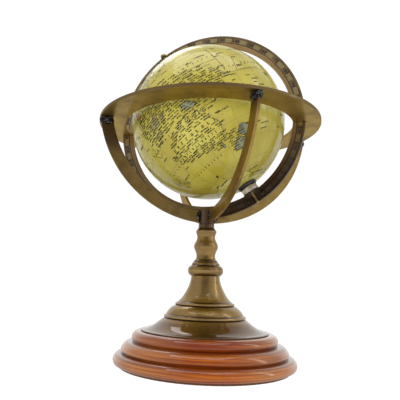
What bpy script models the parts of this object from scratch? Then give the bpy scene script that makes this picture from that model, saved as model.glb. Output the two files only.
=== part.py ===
"""Desktop globe in an antique-brass meridian frame, on a turned stem and a stepped wooden base.

Metres, +Z up. The origin is the centre of the base's underside. The meridian ring lies in the XZ
plane, and its north pole leans towards -X. The stand is the fixed body, the meridian ring turns about
its own centre in the hub's slot, and the globe spins on the polar axle.
"""

from math import acos, asin, atan2, cos, pi, radians, sin, sqrt

import bmesh
import bpy
from mathutils import Matrix, Vector

MM = 0.001
GAP = 0.3 * MM  # running and seating clearance between neighbouring pieces

# Driving dimensions
RING_Z = 193.3 * MM  # meridian ring's centre above the table
GLOBE_R = 62.5 * MM  # a nominal 5 inch globe
GLOBE_SHIFT = 1.4 * MM  # the globe sits this far north of the ring's centre, along the axle
SHELL_WALL = 2.2 * MM
POLE_TILT = radians(32.4)  # the axle's lean from upright at rest

MERIDIAN_R_OUT = 77.6 * MM
MERIDIAN_R_IN = 68.2 * MM
MERIDIAN_T = 3.0 * MM

HORIZON_R_OUT = 89.4 * MM
HORIZON_R_IN = 68.3 * MM
HORIZON_T = 2.4 * MM
HORIZON_Z = 189.9 * MM  # underside of the horizon ring

ARM_R_OUT = 90.1 * MM
ARM_R_IN = 80.5 * MM
ARM_T = 2.4 * MM
ARM_CENTRE_Z = 201.6 * MM
ARM_AZIMUTHS = {
    "arm_back_right": radians(36),
    "arm_back_left": radians(126),
    "arm_front_left": radians(216),
    "arm_front_right": radians(307),
}

HUB_R = 6.3 * MM
HUB_TOP = 122.1 * MM
HUB_BOTTOM = 111.3 * MM

AXLE_R = 1.5 * MM
SCREW_OFFSET = 6.2 * MM  # splice screws, each side of the axle
SCREW_R = 1.0 * MM
SCREW_HEAD_R = 2.5 * MM
SCREW_HEAD_T = 1.5 * MM
SPLICE_HALF_ANGLE = radians(8.2)
SPLICE_T = 1.4 * MM

ROD_R = 3.0 * MM  # threaded rod that holds base, foot, knop and stem together
WOOD_BOTTOM = 1.8 * MM
WOOD_TOP = 26.4 * MM
FELT_R = 66.0 * MM
FELT_T = 1.5 * MM


# Set-up ---------------------------------------------------------------------------------------------

for old in list(bpy.data.objects):
    bpy.data.objects.remove(old, do_unlink=True)

PARTS = bpy.data.collections.new("desktop_globe")
CUTTERS = bpy.data.collections.new("cutters")
for collection in (PARTS, CUTTERS):
    bpy.context.scene.collection.children.link(collection)


def material(name, colour, roughness, metallic=0.0, coat=0.0):
    mat = bpy.data.materials.new(name)
    mat.use_nodes = True
    shader = mat.node_tree.nodes["Principled BSDF"]
    shader.inputs["Base Color"].default_value = (*colour, 1.0)
    shader.inputs["Roughness"].default_value = roughness
    shader.inputs["Metallic"].default_value = metallic
    shader.inputs["Coat Weight"].default_value = coat
    mat.diffuse_color = (*colour, 1.0)
    return mat


BRASS = material("antique_brass", (0.30, 0.20, 0.085), 0.32, metallic=1.0)
DARK_BRASS = material("dark_brass", (0.12, 0.075, 0.035), 0.45, metallic=1.0)
BRIGHT_BRASS = material("bright_brass", (0.45, 0.32, 0.14), 0.30, metallic=1.0)
NICKEL = material("nickel", (0.55, 0.52, 0.48), 0.35, metallic=1.0)
STEEL = material("zinc_steel", (0.55, 0.55, 0.56), 0.35, metallic=1.0)
BLACK_PLASTIC = material("black_plastic", (0.02, 0.02, 0.022), 0.35)
MAP_PAPER = material("map_paper", (0.55, 0.47, 0.13), 0.35, coat=1.0)
BOARD = material("pulp_board", (0.42, 0.36, 0.26), 0.85)
WOOD = material("varnished_wood", (0.36, 0.12, 0.03), 0.30, coat=1.0)
FELT = material("black_felt", (0.03, 0.03, 0.03), 0.95)


def pivot(name, location, rotation=(0, 0, 0), parent=None):
    empty = bpy.data.objects.new(name, None)
    empty.location = location
    empty.rotation_euler = rotation
    empty.parent = parent
    empty.empty_display_size = 0.02
    PARTS.objects.link(empty)
    return empty


def add_object(name, mesh, mat, parent=None, location=(0, 0, 0), rotation=(0, 0, 0), smooth=True):
    obj = bpy.data.objects.new(name, mesh)
    obj.location = location
    obj.rotation_euler = rotation
    obj.parent = parent
    PARTS.objects.link(obj)
    mesh.materials.clear()
    mesh.materials.append(mat)
    if smooth:
        mesh.shade_smooth()
        mesh.set_sharp_from_angle(angle=radians(35))
    return obj


def turned(name, profile, mat, steps=48, closed=False, **place):
    """A turned piece: profile is (radius, height) down its outer side, closed for a piece with a bore."""
    mesh = bpy.data.meshes.new(name)
    points = [(radius, 0.0, height) for radius, height in profile]
    count = len(points)
    edges = [(i, i + 1) for i in range(count - 1)]
    if closed:
        edges.append((count - 1, 0))
    mesh.from_pydata(points, edges, [])
    obj = add_object(name, mesh, mat, smooth=False, **place)
    screw = obj.modifiers.new("turn", "SCREW")
    screw.steps = screw.render_steps = steps
    screw.use_merge_vertices = True
    screw.merge_threshold = 0.00001
    screw.use_smooth_shade = True
    return obj


def plate(name, loops, thickness, mat, **place):
    """A flat piece cut from sheet: its outline and any holes lie in local XY, centred on z = 0."""
    curve = bpy.data.curves.new(name + "_outline", "CURVE")
    curve.dimensions = "2D"
    curve.fill_mode = "BOTH"
    curve.extrude = thickness / 2
    for loop in loops:
        spline = curve.splines.new("POLY")
        spline.points.add(len(loop) - 1)
        for point, (x, y) in zip(spline.points, loop):
            point.co = (x, y, 0.0, 1.0)
        spline.use_cyclic_u = True
    outline = bpy.data.objects.new(name + "_outline", curve)
    PARTS.objects.link(outline)
    graph = bpy.context.evaluated_depsgraph_get()
    mesh = bpy.data.meshes.new_from_object(outline.evaluated_get(graph))
    bpy.data.objects.remove(outline, do_unlink=True)
    mesh.name = name
    shape = bmesh.new()
    shape.from_mesh(mesh)
    bmesh.ops.remove_doubles(shape, verts=shape.verts, dist=0.00001)
    bmesh.ops.recalc_face_normals(shape, faces=shape.faces)
    shape.to_mesh(mesh)
    shape.free()
    return add_object(name, mesh, mat, **place)


def arc(radius, start, end, count, centre=(0.0, 0.0)):
    """Points on an arc, both ends included."""
    step = (end - start) / (count - 1)
    return [
        (centre[0] + radius * cos(start + i * step), centre[1] + radius * sin(start + i * step))
        for i in range(count)
    ]


def circle(radius, count, centre=(0.0, 0.0)):
    return arc(radius, 0.0, 2 * pi * (count - 1) / count, count, centre)


def box_cutter(name, size, location, parent=None):
    mesh = bpy.data.meshes.new(name)
    shape = bmesh.new()
    bmesh.ops.create_cube(shape, size=1.0, matrix=Matrix.Diagonal((*size, 1.0)))
    shape.to_mesh(mesh)
    shape.free()
    cutter = bpy.data.objects.new(name, mesh)
    cutter.location = location
    cutter.parent = parent
    cutter.hide_render = True
    cutter.display_type = "WIRE"
    CUTTERS.objects.link(cutter)
    return cutter


def cut(obj, cutter):
    boolean = obj.modifiers.new("cut", "BOOLEAN")
    boolean.operation = "DIFFERENCE"
    boolean.solver = "EXACT"
    boolean.object = cutter


# Base -----------------------------------------------------------------------------------------------

RECESS_R = 10.0 * MM  # recess under the base for the nut
RECESS_TOP = 9.8 * MM
ROD_HOLE_R = ROD_R + GAP


def base_felt():
    turned("base_felt", [(0, FELT_T), (FELT_R, FELT_T), (FELT_R, 0), (0, 0)], FELT, steps=64)


def wood_base():
    """Three rounded tiers with a cove between each, bored for the rod and recessed for the nut."""
    outside = [
        (51.6, 26.4), (54.2, 25.8), (56.1, 24.0), (56.8, 21.9), (56.4, 20.0), (55.7, 18.9),
        (57.3, 18.7), (60.3, 18.2), (62.7, 16.5), (64.3, 14.2), (64.9, 12.4), (64.2, 11.0),
        (63.7, 10.4), (65.4, 10.2), (67.6, 9.7), (69.5, 8.1), (70.5, 6.0), (70.6, 4.2),
        (69.8, 2.5), (68.2, 1.8),
    ]
    profile = [(ROD_HOLE_R, WOOD_TOP)]
    profile += [(radius * MM, height * MM) for radius, height in outside]
    profile += [(RECESS_R, WOOD_BOTTOM), (RECESS_R, RECESS_TOP), (ROD_HOLE_R, RECESS_TOP)]
    turned("wood_base", profile, WOOD, steps=56, closed=True)


def base_fixings():
    rod_bottom, rod_top = 2.6 * MM, 99.5 * MM
    turned("tie_rod", [(0, rod_top), (ROD_R, rod_top), (ROD_R, rod_bottom), (0, rod_bottom)], STEEL, steps=20)
    washer_r, washer_low, washer_top = 8.5 * MM, 8.3 * MM, 9.5 * MM
    ring = [(ROD_HOLE_R, washer_top), (washer_r, washer_top), (washer_r, washer_low), (ROD_HOLE_R, washer_low)]
    turned("base_washer", ring, STEEL, steps=28, closed=True)
    nut_corner_r, nut_t, nut_mid = 5.8 * MM, 5.0 * MM, 5.5 * MM
    hexagon = circle(nut_corner_r, 6)
    plate("base_nut", [hexagon, circle(ROD_HOLE_R, 18)], nut_t, STEEL, location=(0, 0, nut_mid))


# Foot, knop and stem --------------------------------------------------------------------------------


def bell_foot():
    """A spun brass foot with two raised rings; its thin wall leaves it open underneath."""
    outside = [
        (11.4, 69.0), (11.7, 66.4), (12.4, 63.6), (13.4, 61.0), (14.6, 58.5), (16.2, 55.5),
        (18.2, 52.5), (20.6, 49.9), (22.3, 48.5), (23.2, 47.7), (23.3, 46.8), (25.6, 45.4),
        (27.9, 43.5), (29.7, 41.2), (30.7, 39.4), (31.9, 38.6), (32.3, 37.7), (31.7, 36.8),
        (33.2, 35.7), (35.6, 33.9), (38.7, 31.6), (42.4, 29.4), (46.4, 27.9), (49.6, 27.4),
        (49.8, 26.7),
    ]
    inside = [
        (48.8, 26.7), (46.2, 26.9), (41.8, 28.2), (30.6, 36.2), (28.6, 40.4),
        (20.6, 47.8), (15.0, 54.6), (11.2, 62.8), (10.2, 67.6),
    ]
    profile = [(ROD_HOLE_R, 69.0 * MM)]
    profile += [(radius * MM, height * MM) for radius, height in outside + inside]
    profile += [(ROD_HOLE_R, 67.6 * MM)]
    turned("bell_foot", profile, BRASS, steps=48, closed=True)


def knop():
    outside = [
        (11.5, 77.3), (13.1, 76.4), (13.9, 75.1), (14.1, 73.5), (13.8, 71.9), (12.9, 70.3), (11.6, 69.3),
    ]
    profile = [(ROD_HOLE_R, 77.3 * MM)]
    profile += [(radius * MM, height * MM) for radius, height in outside]
    profile += [(ROD_HOLE_R, 69.3 * MM)]
    turned("stem_knop", profile, BRASS, steps=40, closed=True)


SPIGOT_R = 3.0 * MM
SPIGOT_TOP = HUB_BOTTOM + 2.1 * MM
STEM_TOP = HUB_BOTTOM - GAP


def stem():
    """The turned baluster: two beads between necks, a stepped flange below and a spigot on top."""
    outside = [
        (6.3, 109.5), (6.5, 107.8), (7.3, 106.4), (8.2, 105.2), (8.3, 104.3), (7.6, 102.4),
        (7.2, 100.0), (7.8, 97.7), (9.0, 95.3), (9.6, 93.6), (9.6, 91.8), (9.0, 90.2),
        (8.0, 87.9), (7.5, 85.5), (7.8, 83.3), (8.6, 82.0), (9.5, 81.2), (9.7, 80.3),
        (10.7, 79.4), (11.1, 78.6), (11.3, 77.6),
    ]
    bore_top = 100.0 * MM
    profile = [(0, SPIGOT_TOP), (SPIGOT_R, SPIGOT_TOP), (SPIGOT_R, STEM_TOP), (6.3 * MM, STEM_TOP)]
    profile += [(radius * MM, height * MM) for radius, height in outside]
    profile += [(ROD_HOLE_R, 77.6 * MM), (ROD_HOLE_R, bore_top), (0, bore_top)]
    turned("stem_baluster", profile, BRASS, steps=32)


# Cradle: hub, four arms and the horizon ring ----------------------------------------------------------

NOTCH_HALF = MERIDIAN_T / 2 + GAP


def hub():
    """A round block that the arms meet; the meridian ring runs in the slot across its top."""
    socket_r, socket_top = SPIGOT_R + GAP, HUB_BOTTOM + 2.4 * MM
    profile = [
        (0, HUB_TOP), (HUB_R, HUB_TOP), (HUB_R, HUB_BOTTOM), (socket_r, HUB_BOTTOM),
        (socket_r, socket_top), (0, socket_top),
    ]
    block = turned("cradle_hub", profile, BRASS, steps=32)
    slot_floor = RING_Z - MERIDIAN_R_OUT - GAP
    height = HUB_TOP - slot_floor + 2 * MM
    slot = box_cutter("hub_slot", (4 * HUB_R, 2 * NOTCH_HALF, height), (0, 0, slot_floor + height / 2))
    cut(block, slot)


def arms():
    """Four quarter-round strips on edge, from the hub's side up to the horizon ring's underside."""
    top = HORIZON_Z - GAP - ARM_CENTRE_Z
    inner_end = HUB_R + GAP
    for name, azimuth in ARM_AZIMUTHS.items():
        outer = arc(ARM_R_OUT, asin(top / ARM_R_OUT), -acos(inner_end / ARM_R_OUT), 28)
        inner = arc(ARM_R_IN, -acos(inner_end / ARM_R_IN), asin(top / ARM_R_IN), 28)
        plate(name, [outer + inner], ARM_T, BRASS, location=(0, 0, ARM_CENTRE_Z), rotation=(pi / 2, 0, azimuth))


def horizon_ring():
    """A flat ring, notched at each side of its inner edge where the meridian ring passes."""
    depth = MERIDIAN_R_OUT + GAP
    notch_angle = asin(NOTCH_HALF / HORIZON_R_IN)
    inner = []
    for side in (0, pi):
        turn = Matrix.Rotation(side, 2)
        corners = [Vector((depth, -NOTCH_HALF)), Vector((depth, NOTCH_HALF))]
        inner += [tuple(turn @ corner) for corner in corners]
        inner += arc(HORIZON_R_IN, side + notch_angle, side + pi - notch_angle, 36)
    middle = HORIZON_Z + HORIZON_T / 2
    plate("horizon_ring", [circle(HORIZON_R_OUT, 80), inner], HORIZON_T, BRASS, location=(0, 0, middle))


# Meridian ring and its pole fittings: local Z is the polar axis ----------------------------------------

POLE_R = (MERIDIAN_R_OUT + MERIDIAN_R_IN) / 2
SCREW_POLE_R = sqrt(POLE_R**2 - SCREW_OFFSET**2)
SCREW_HOLE_R = SCREW_R + GAP
CAP_T = 2.4 * MM  # how far each pole cap stands off the globe


def meridian_halves(parent):
    """Two half rings whose ends stop short of the axle; each end is drilled for a splice screw."""
    end = AXLE_R + GAP
    for name, side in (("meridian_half_upper", 1), ("meridian_half_lower", -1)):
        outer_end, inner_end = acos(end / MERIDIAN_R_OUT), acos(end / MERIDIAN_R_IN)
        outline = arc(MERIDIAN_R_OUT, -outer_end, outer_end, 50) + arc(MERIDIAN_R_IN, inner_end, -inner_end, 50)
        holes = [circle(SCREW_HOLE_R, 12, (SCREW_OFFSET, pole * SCREW_POLE_R)) for pole in (1, -1)]
        loops = [[(side * x, y) for x, y in loop] for loop in [outline, *holes]]
        plate(name, loops, MERIDIAN_T, BRASS, parent=parent, rotation=(pi / 2, 0, 0))


def axle(parent):
    top, bottom = MERIDIAN_R_OUT + 2.4 * MM, -MERIDIAN_R_OUT + 0.2 * MM
    turned("polar_axle", [(0, top), (AXLE_R, top), (AXLE_R, bottom), (0, bottom)], BRIGHT_BRASS, steps=20, parent=parent)


def splices(parent):
    """A curved strap behind each pole, held to both half rings by two slotted screws from the front."""
    inset = 0.4 * MM
    strap_y = MERIDIAN_T / 2 + GAP + SPLICE_T / 2
    head_y = -(MERIDIAN_T / 2 + GAP)
    tail = MERIDIAN_T + 2 * GAP + SPLICE_T + 0.6 * MM
    for pole_name, pole in (("north", 1), ("south", -1)):
        middle = pole * pi / 2
        low, high = middle - SPLICE_HALF_ANGLE, middle + SPLICE_HALF_ANGLE
        outline = arc(MERIDIAN_R_OUT - inset, low, high, 12) + arc(MERIDIAN_R_IN + inset, high, low, 12)
        holes = [circle(SCREW_HOLE_R, 12, (side * SCREW_OFFSET, pole * SCREW_POLE_R)) for side in (1, -1)]
        plate(
            pole_name + "_splice_strap", [outline, *holes], SPLICE_T, DARK_BRASS,
            parent=parent, location=(0, strap_y, 0), rotation=(pi / 2, 0, 0),
        )
        for side_name, side in (("upper", 1), ("lower", -1)):
            name = f"{pole_name}_screw_{side_name}"
            profile = [
                (0, SCREW_HEAD_T), (SCREW_HEAD_R * 0.7, SCREW_HEAD_T), (SCREW_HEAD_R, SCREW_HEAD_T * 0.6),
                (SCREW_HEAD_R, 0), (SCREW_R, 0), (SCREW_R, -tail), (0, -tail),
            ]
            place = (side * SCREW_OFFSET, head_y, pole * SCREW_POLE_R)
            screw = turned(name, profile, DARK_BRASS, steps=20, parent=parent, location=place, rotation=(pi / 2, 0, 0))
            slot = box_cutter(
                name + "_slot", (4 * SCREW_HEAD_R, 0.8 * MM, 1.2 * MM), (0, 0, SCREW_HEAD_T), parent=screw
            )
            cut(screw, slot)


def pole_fittings(parent):
    """Nickel spacers between cap and ring on the axle, and a domed nut outside the north pole."""
    bore, bevel = AXLE_R + GAP, 0.4 * MM
    high = MERIDIAN_R_IN - GAP
    for name, pole, radius in (("north_spacer", 1, 5.2 * MM), ("south_spacer", -1, 6.8 * MM)):
        low = GLOBE_R + pole * GLOBE_SHIFT + CAP_T + GAP
        profile = [
            (bore, high), (radius - bevel, high), (radius, high - bevel), (radius, low + bevel),
            (radius - bevel, low), (bore, low),
        ]
        flip = 0 if pole == 1 else pi
        turned(name, profile, NICKEL, steps=32, closed=True, parent=parent, rotation=(flip, 0, 0))
    nut_low = MERIDIAN_R_OUT + GAP
    nut_r, nut_t, bore_top = 2.6 * MM, 3.4 * MM, MERIDIAN_R_OUT + 2.7 * MM
    dome = [
        (nut_r * sin(angle), nut_low + nut_t * (0.35 + 0.65 * cos(angle)))
        for angle in (i * pi / 12 for i in range(7))
    ]
    profile = dome + [(nut_r, nut_low), (bore, nut_low), (bore, bore_top), (0, bore_top)]
    turned("north_dome_nut", profile, BRASS, steps=20, parent=parent)


# Globe: two map shells, the band inside their joint, and a cap at each pole -----------------------------


CAP_TUBE_R = 3.4 * MM
CAP_R = 8.0 * MM


def globe_shells(parent):
    hole = CAP_TUBE_R + GAP
    inner_r = GLOBE_R - SHELL_WALL
    seam = GAP / 2
    for name, pole in (("globe_north_shell", 1), ("globe_south_shell", -1)):
        outer = arc(GLOBE_R, acos(hole / GLOBE_R), asin(seam / GLOBE_R), 14)
        inner = arc(inner_r, asin(seam / inner_r), acos(hole / inner_r), 10)
        flip = 0 if pole == 1 else pi
        turned(name, outer + inner, MAP_PAPER, steps=42, closed=True, parent=parent, rotation=(flip, 0, 0))


def equator_band(parent):
    outer, half = GLOBE_R - SHELL_WALL - 0.9 * MM, 5.0 * MM
    wall = 1.2 * MM
    profile = [(outer, half), (outer, -half), (outer - wall, -half), (outer - wall, half)]
    turned("equator_band", profile, BOARD, steps=40, closed=True, parent=parent)


def pole_caps(parent):
    """A black cap that hugs the map, with a tube through the shell that turns on the axle."""
    bore = AXLE_R + 0.15 * MM
    under = GLOBE_R + GAP
    tube_end = GLOBE_R - 6.0 * MM
    edge = atan2(CAP_R, sqrt(under**2 - CAP_R**2))
    tube = asin(CAP_TUBE_R / under)
    for name, pole in (("north_pole_cap", 1), ("south_pole_cap", -1)):
        underside = [
            (under * sin(angle), under * cos(angle))
            for angle in (edge + (tube - edge) * i / 4 for i in range(5))
        ]
        top = GLOBE_R + CAP_T
        profile = [(bore, top), (CAP_R - 2.2 * MM, top), (CAP_R - 0.7 * MM, top - 0.6 * MM), (CAP_R, top - 1.5 * MM)]
        profile += underside + [(CAP_TUBE_R, tube_end), (bore, tube_end)]
        flip = 0 if pole == 1 else pi
        turned(name, profile, BLACK_PLASTIC, steps=32, closed=True, parent=parent, rotation=(flip, 0, 0))


# Assembly -------------------------------------------------------------------------------------------

base_felt()
wood_base()
base_fixings()
bell_foot()
knop()
stem()
hub()
arms()
horizon_ring()

meridian_pivot = pivot("meridian_pivot", (0, 0, RING_Z), rotation=(0, -POLE_TILT, 0))
meridian_halves(meridian_pivot)
axle(meridian_pivot)
splices(meridian_pivot)
pole_fittings(meridian_pivot)

globe_pivot = pivot("globe_pivot", (0, 0, GLOBE_SHIFT), parent=meridian_pivot)
globe_shells(globe_pivot)
equator_band(globe_pivot)
pole_caps(globe_pivot)
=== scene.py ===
"""Looks of a desktop globe in an antique-brass frame, on a turned foot and a stepped wooden base.

Metres, +Z up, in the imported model's own frame. Turned pieces stand round the upright axis or round the
polar axle, and each piece rides on the body that it is fixed to.
"""

import random
from math import acos, asin, cos, pi, radians, sin, sqrt

import bpy
from mathutils import Matrix, Vector
from mathutils.geometry import delaunay_2d_cdt


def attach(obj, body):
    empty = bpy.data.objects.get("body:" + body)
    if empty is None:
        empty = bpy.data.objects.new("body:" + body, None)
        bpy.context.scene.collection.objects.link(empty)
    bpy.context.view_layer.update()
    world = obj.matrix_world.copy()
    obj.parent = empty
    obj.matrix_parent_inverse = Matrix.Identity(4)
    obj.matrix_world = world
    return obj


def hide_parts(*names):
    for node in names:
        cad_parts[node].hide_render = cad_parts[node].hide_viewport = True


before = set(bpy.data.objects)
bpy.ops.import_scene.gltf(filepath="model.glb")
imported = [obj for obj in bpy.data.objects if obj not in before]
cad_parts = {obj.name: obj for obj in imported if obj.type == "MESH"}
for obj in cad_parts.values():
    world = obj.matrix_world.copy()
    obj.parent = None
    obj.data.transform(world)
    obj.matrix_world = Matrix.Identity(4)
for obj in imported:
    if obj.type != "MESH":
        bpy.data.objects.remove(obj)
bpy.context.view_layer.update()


# Studio ---------------------------------------------------------
# The globe stands on a pale table before a white backdrop. Softboxes light it from both sides, from
# behind, from the front and from above, and the room on the camera's side is dim.

MM = 0.001


class Wire:
    """A shader socket. Arithmetic on it adds Math nodes."""

    def __init__(self, nodes, socket):
        self.nodes = nodes
        self.socket = socket

    def math(self, operation, *others):
        values = dict(enumerate((self, *others)))
        return self.nodes.add("ShaderNodeMath", {"operation": operation}, values)

    def __add__(self, other):
        return self.math("ADD", other)

    __radd__ = __add__

    def __sub__(self, other):
        return self.math("SUBTRACT", other)

    def __rsub__(self, other):
        return self.nodes.add("ShaderNodeMath", {"operation": "SUBTRACT"}, {0: other, 1: self})

    def __mul__(self, other):
        return self.math("MULTIPLY", other)

    def __abs__(self):
        return self.math("ABSOLUTE")

    def over(self, other):
        """The larger of the two."""
        return self.math("MAXIMUM", other)


class Nodes:
    """One node tree, of a finish or of the backdrop, with one call that adds any node."""

    def __init__(self, owner):
        owner.use_nodes = True
        self.owner = owner
        self.tree = owner.node_tree

    def feed(self, socket, value):
        if isinstance(value, Wire):
            self.tree.links.new(value.socket, socket)
        elif socket.type == "RGBA":
            socket.default_value = (*value, 1.0)
        else:
            socket.default_value = value

    def add(self, kind, settings, values, out=0):
        node = self.tree.nodes.new(kind)
        for name, value in settings.items():
            setattr(node, name, value)
        for name, value in values.items():
            self.feed(node.inputs[name], value)
        return Wire(self, node.outputs[out])

    def fade(self, value, low, high):
        """0 below low, 1 above high, and smooth between; low may be the larger."""
        settings = {"interpolation_type": "SMOOTHSTEP"}
        return self.add("ShaderNodeMapRange", settings, {0: value, 1: low, 2: high})

    def mix(self, factor, first, second):
        return self.add("ShaderNodeMix", {"data_type": "RGBA"}, {0: factor, 6: first, 7: second}, 2)

    def vector_math(self, operation, first, second=(0, 0, 0), out=0):
        return self.add("ShaderNodeVectorMath", {"operation": operation}, {0: first, 1: second}, out)

    def length(self, vector):
        return self.vector_math("LENGTH", vector, out="Value")

    def dot(self, first, second):
        return self.vector_math("DOT_PRODUCT", first, second, "Value")

    def axis(self, name, vector):
        return self.add("ShaderNodeSeparateXYZ", {}, {0: vector}, name)

    def is_seen(self):
        """1 where the camera looks straight at it, and 0 in light and reflections."""
        return self.add("ShaderNodeLightPath", {}, {}, "Is Camera Ray")


CAMERA_AT = Vector((97.9, -355.8, 68.5)) * MM
CAMERA_LENS, CAMERA_SHIFT = 41.23, (0.068, 0.041)
CAMERA_TURN, CAMERA_PITCH, CAMERA_ROLL = radians(19.64), radians(7.42), radians(1.74)
LAMPS_FACE = Vector((0, 0, 150)) * MM
camera_heading = (CAMERA_AT - LAMPS_FACE).xy.angle_signed(Vector((1, 0)))


def stage_camera():
    data = bpy.data.cameras.new("camera")
    data.lens = CAMERA_LENS
    data.shift_x, data.shift_y = CAMERA_SHIFT
    data.clip_start = 10 * MM
    camera = bpy.data.objects.new("camera", data)
    tilt = Matrix.Rotation(pi / 2 + CAMERA_PITCH, 4, "X") @ Matrix.Rotation(CAMERA_ROLL, 4, "Z")
    camera.matrix_world = Matrix.Translation(CAMERA_AT) @ Matrix.Rotation(CAMERA_TURN, 4, "Z") @ tilt
    bpy.context.scene.collection.objects.link(camera)
    bpy.context.scene.camera = camera


def backdrop(white=1.05, walls=0.70, strip_loss=0.40, behind_gain=0.45):
    """White to the eye; in reflections a dim strip runs from the camera's side up over the ceiling."""
    world = bpy.data.worlds.new("backdrop")
    bpy.context.scene.world = world
    room = Nodes(world)
    direction = room.add("ShaderNodeTexCoord", {}, {}, "Generated")
    front = Vector((cos(camera_heading), sin(camera_heading), 0))
    aside = abs(room.dot(direction, (-front.y, front.x, 0)))
    facing = room.dot(direction, tuple(front))
    rise = room.axis("Z", direction)
    strip = room.fade(aside + rise * 0.34, 0.66, 0.5) * room.fade(facing, -0.75, -0.45)
    behind = room.fade(facing, -0.40, -0.70)
    glow = walls - strip * strip_loss + behind * behind_gain
    shade = room.tree.nodes["Background"]
    shade.inputs["Color"].default_value = (1.0, 1.0, 1.0, 1.0)
    room.feed(shade.inputs["Strength"], glow + room.is_seen() * (white - glow))


def softbox(name, turn, rise, width, height, radiance, glossy=True, distance=0.85):
    """A rectangular lamp that faces the globe; turn is counted from the camera's side, to its right."""
    heading, rise = camera_heading + radians(turn), radians(rise)
    reach = Vector((cos(heading) * cos(rise), sin(heading) * cos(rise), sin(rise)))
    data = bpy.data.lights.new(name, "AREA")
    data.shape = "RECTANGLE"
    data.size, data.size_y = width, height
    data.energy = radiance * pi * width * height
    lamp = bpy.data.objects.new(name, data)
    lamp.location = LAMPS_FACE + reach * distance
    lamp.rotation_euler = reach.to_track_quat("Z", "Y").to_euler()
    lamp.visible_glossy = glossy
    bpy.context.scene.collection.objects.link(lamp)


def table(to_light=0.58, to_eye=0.98):
    """A pale table that glows a little, and a little more to the eye, so that it melts into the white."""
    bpy.ops.mesh.primitive_plane_add(size=8.0, location=(0, 0, 0))
    top = bpy.context.object
    top.name = "table"
    paint = Nodes(bpy.data.materials.new("pale_table"))
    shader = paint.tree.nodes["Principled BSDF"]
    shader.inputs["Base Color"].default_value = (0.25, 0.25, 0.25, 1.0)
    shader.inputs["Roughness"].default_value = 0.7
    shader.inputs["Emission Strength"].default_value = 1.0
    paint.feed(shader.inputs["Emission Color"], to_light + paint.is_seen() * (to_eye - to_light))
    top.data.materials.append(paint.owner)


stage_camera()
backdrop()
softbox("softbox_left", -82, 20, 0.5, 0.8, 0.9, glossy=False)
softbox("softbox_right", 84, 22, 0.12, 0.8, 2.6)
softbox("softbox_top", -20, 80, 0.9, 0.6, 2.2)
softbox("softbox_back_left", -152, 52, 0.34, 0.3, 2.8)
softbox("softbox_front", 2, 3, 1.0, 0.34, 5.4, glossy=False)
table()
bpy.context.scene.view_settings.view_transform = "Standard"


# Felt pad -------------------------------------------------------
# A disc of brown felt glued under the base, a little smaller than it, so that only a dark line of it
# shows. Its fibres stand up in a short nap.


class Finish(Nodes):
    """One material: fixed values go on the shader's own sockets, the rest comes from nodes."""

    def __init__(self, name, **fixed):
        super().__init__(bpy.data.materials.new(name))
        self.shader = self.tree.nodes["Principled BSDF"]
        for socket, value in fixed.items():
            self.shader.inputs[socket.replace("_", " ")].default_value = value
        self.place = self.add("ShaderNodeTexCoord", {}, {}, "Object")

    def noise(self, scale, detail=3.0):
        values = {"Vector": self.place, "Scale": scale, "Detail": detail}
        return self.add("ShaderNodeTexNoise", {}, values)

    def streaks(self, x, y=0.0, z=0.0, detail=3.0):
        """Noise whose grain is stretched along whatever the three values change slowly with."""
        where = self.add("ShaderNodeCombineXYZ", {}, {0: x, 1: y, 2: z})
        return self.add("ShaderNodeTexNoise", {}, {"Vector": where, "Scale": 1.0, "Detail": detail})

    def surface(self, colour, roughness, height, depth):
        """Colour, gloss, and a relief of the given depth in metres."""
        bump = self.add("ShaderNodeBump", {}, {"Strength": 1.0, "Distance": depth, "Height": height})
        self.feed(self.shader.inputs["Base Color"], colour)
        self.feed(self.shader.inputs["Roughness"], roughness)
        self.feed(self.shader.inputs["Normal"], bump)
        return self.owner


def mottled(name, scale, detail, first, second, roughness, depth, **fixed):
    """A finish of one noise between two colours, with the noise as its relief."""
    finish = Finish(name, **fixed)
    mottle = finish.noise(scale, detail)
    return finish.surface(finish.mix(mottle, first, second), roughness, mottle, depth)


def dress(node, material):
    """Give a carried-over CAD node a better finish."""
    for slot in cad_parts[node].material_slots:
        slot.material = material


felt_brown = (0.06, 0.022, 0.008), (0.15, 0.056, 0.02)
dress("base_felt", mottled("brown_felt", 2600, 4.0, *felt_brown, 0.95, 0.0002, Sheen_Weight=0.3))


# Wooden base ----------------------------------------------------
# Hardwood turned on a lathe into three rounded tiers with a quirk between each, stained red-brown and
# varnished to a gloss. The rod's hole and the nut's recess are bored on the same axis.

MERGE_WITHIN = 0.002 * MM


def only(piece):
    """Select one object and make it the active one."""
    bpy.ops.object.select_all(action="DESELECT")
    piece.select_set(True)
    bpy.context.view_layer.objects.active = piece


def named(name):
    """Name the object that was just made, and its mesh."""
    piece = bpy.context.object
    piece.name = piece.data.name = name
    return piece


def whole(operator, **values):
    """Run a mesh operator on all of the mesh that is being edited."""
    bpy.ops.mesh.select_all(action="SELECT")
    operator(**values)


def rounded(points, fine=4):
    """A smooth curve through the given points, with fine steps between each two."""
    ends = [points[0], *points, points[-1]]
    curve = []
    for before, start, end, after in zip(ends, ends[1:], ends[2:], ends[3:]):
        for step in range(fine):
            t = step / fine
            curve.append(tuple(
                b + 0.5 * t * (c - a + t * (2 * a - 5 * b + 4 * c - d + t * (3 * b - a - 3 * c + d)))
                for a, b, c, d in zip(before, start, end, after)
            ))
    return curve + [points[-1]]


def smooth_by_angle(piece, angle=38):
    only(piece)
    bpy.ops.object.shade_smooth_by_angle(angle=radians(angle))


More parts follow.
